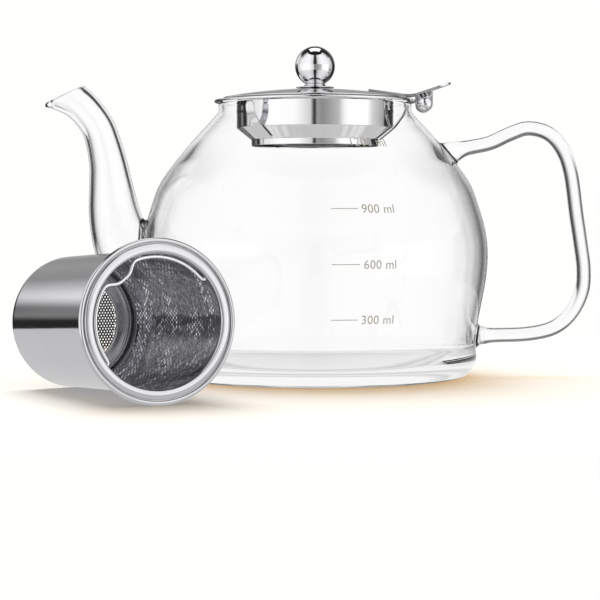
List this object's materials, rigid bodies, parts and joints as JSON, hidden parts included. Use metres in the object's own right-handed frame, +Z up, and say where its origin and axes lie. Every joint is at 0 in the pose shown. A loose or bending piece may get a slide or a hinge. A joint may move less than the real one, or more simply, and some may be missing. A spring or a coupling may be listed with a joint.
{
  "type": "glass teapot",
  "caption": "Clear glass teapot with a curved spout, bent rod handle, hinged steel lid on a drop-in collar, and a lift-off steel infuser with a folding wire bail.",
  "frame": {"origin": "centre of the pot's flat base, on the surface it stands on", "axes": "+Z up, +X towards the handle and the lid's hinge, -X towards the spout, -Y towards the infuser's mouth"},
  "size_m": [0.2314, 0.2119, 0.1364],
  "materials": {
    "clear_glass": "clear, fire-polished",
    "polished_steel": "mirror polished",
    "satin_steel": "satin",
    "bright_wire": "bright drawn"
  },
  "bodies": {
    "pot": {"glass_body": "clear_glass", "spout": "clear_glass", "handle": "clear_glass"},
    "lid_unit": {"lid_collar": "polished_steel", "spring_clip_left": "polished_steel", "spring_clip_right": "polished_steel", "spring_clip_back": "polished_steel", "hinge_knuckle": "polished_steel", "hinge_pin": "polished_steel"},
    "lid": {"lid_plate": "polished_steel", "thumb_lever": "polished_steel", "knob_ball": "polished_steel", "knob_foot": "polished_steel", "knob_screw": "polished_steel"},
    "infuser": {"infuser_wall": "satin_steel", "infuser_base": "satin_steel", "infuser_rim": "polished_steel"},
    "bail": {"infuser_bail": "bright_wire"}
  },
  "joints": [
    {"name": "lid_unit_lift", "type": "slide", "parent": "pot", "child": "lid_unit", "axis": [0, 0, 1], "range_m": [0, 0.05]},
    {"name": "lid_hinge", "type": "hinge", "parent": "lid_unit", "child": "lid", "pos_m": [0.0451, 0, 0.1126], "axis": [0, 1, 0], "range_deg": [0, 95]},
    {"name": "infuser_lift", "type": "slide", "parent": "pot", "child": "infuser", "axis": [0, 0, 1], "range_m": [0, 0.06]},
    {"name": "bail_hinge", "type": "hinge", "parent": "infuser", "child": "bail", "pos_m": [-0.05678, -0.12563, 0.0295], "axis": [0.6917, 0.3788, 0.6149], "range_deg": [0, 180]}
  ]
}
